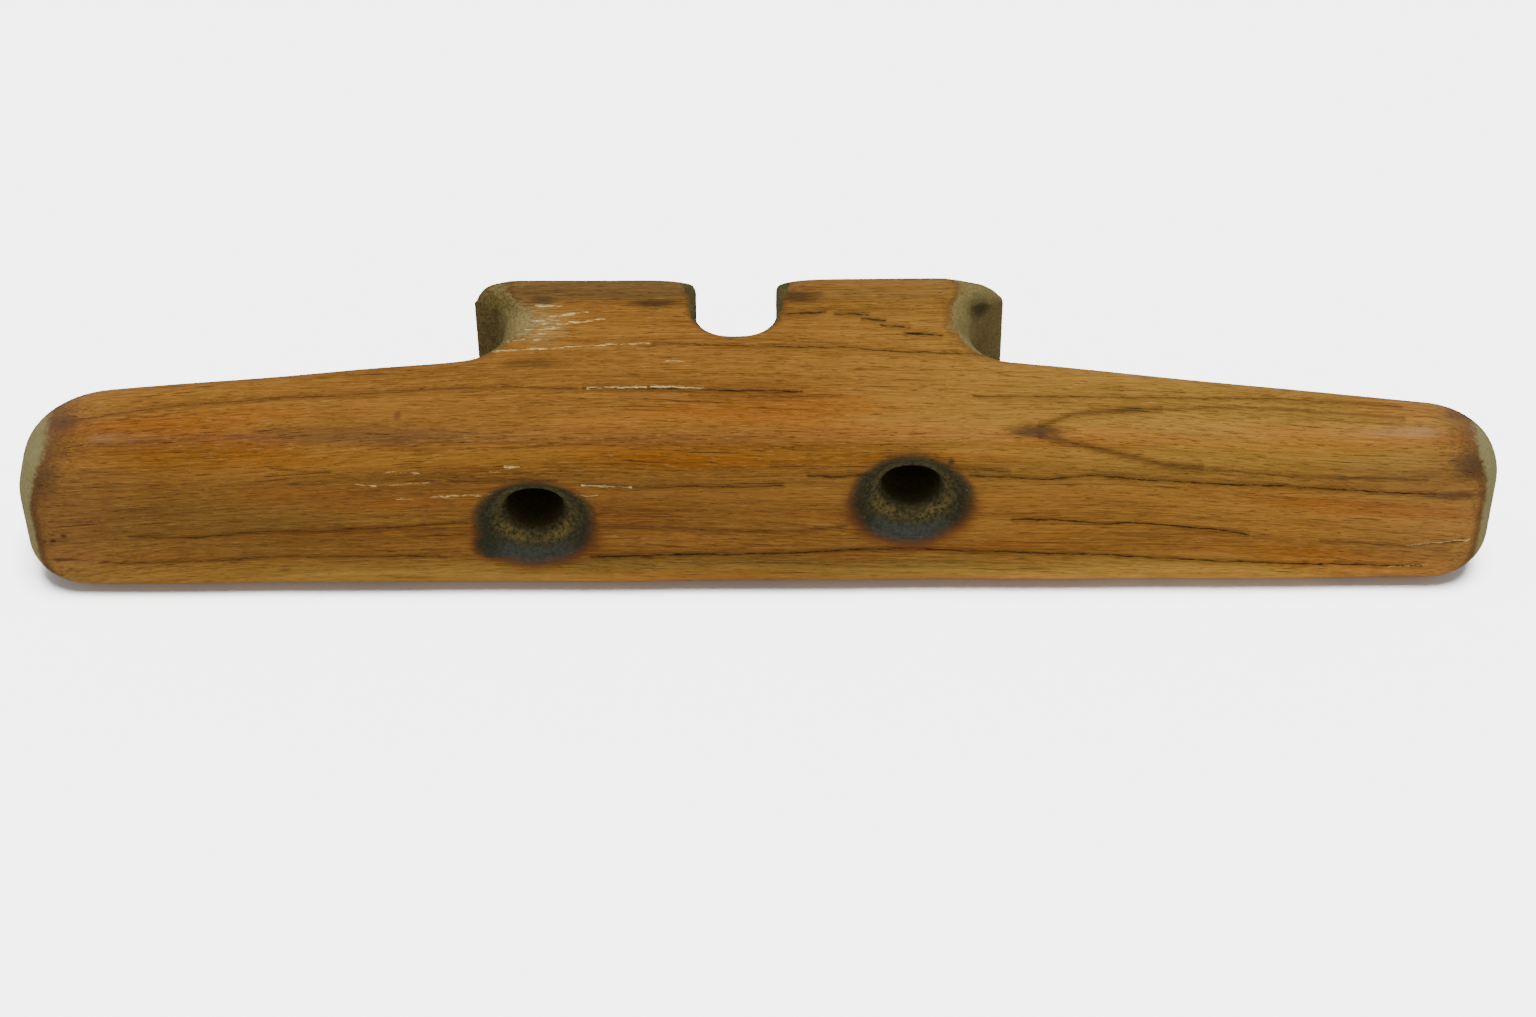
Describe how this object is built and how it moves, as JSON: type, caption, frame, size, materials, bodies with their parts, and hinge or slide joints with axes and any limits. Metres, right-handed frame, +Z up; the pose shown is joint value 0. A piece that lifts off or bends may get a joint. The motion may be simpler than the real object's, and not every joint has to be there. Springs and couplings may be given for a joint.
{
  "type": "horn cleat",
  "caption": "Worn solid teak horn cleat lying on its side: two feet with a rope gap between them, long rounded horns, and staggered countersunk through-holes for bolts.",
  "frame": {"origin": "in the plane of the soles, half way between the axes of the bolt holes", "axes": "+X along the horns towards the longer one, +Y out of the soles towards the deck it is bolted to, +Z up across the plank's thickness as the cleat lies on its side"},
  "size_m": [0.3049, 0.051, 0.0446],
  "materials": {
    "teak": "worn, lightly oiled teak with open grain and dark stains round the bolt holes"
  },
  "bodies": {
    "root": {"cleat_body": "teak"}
  },
  "joints": []
}
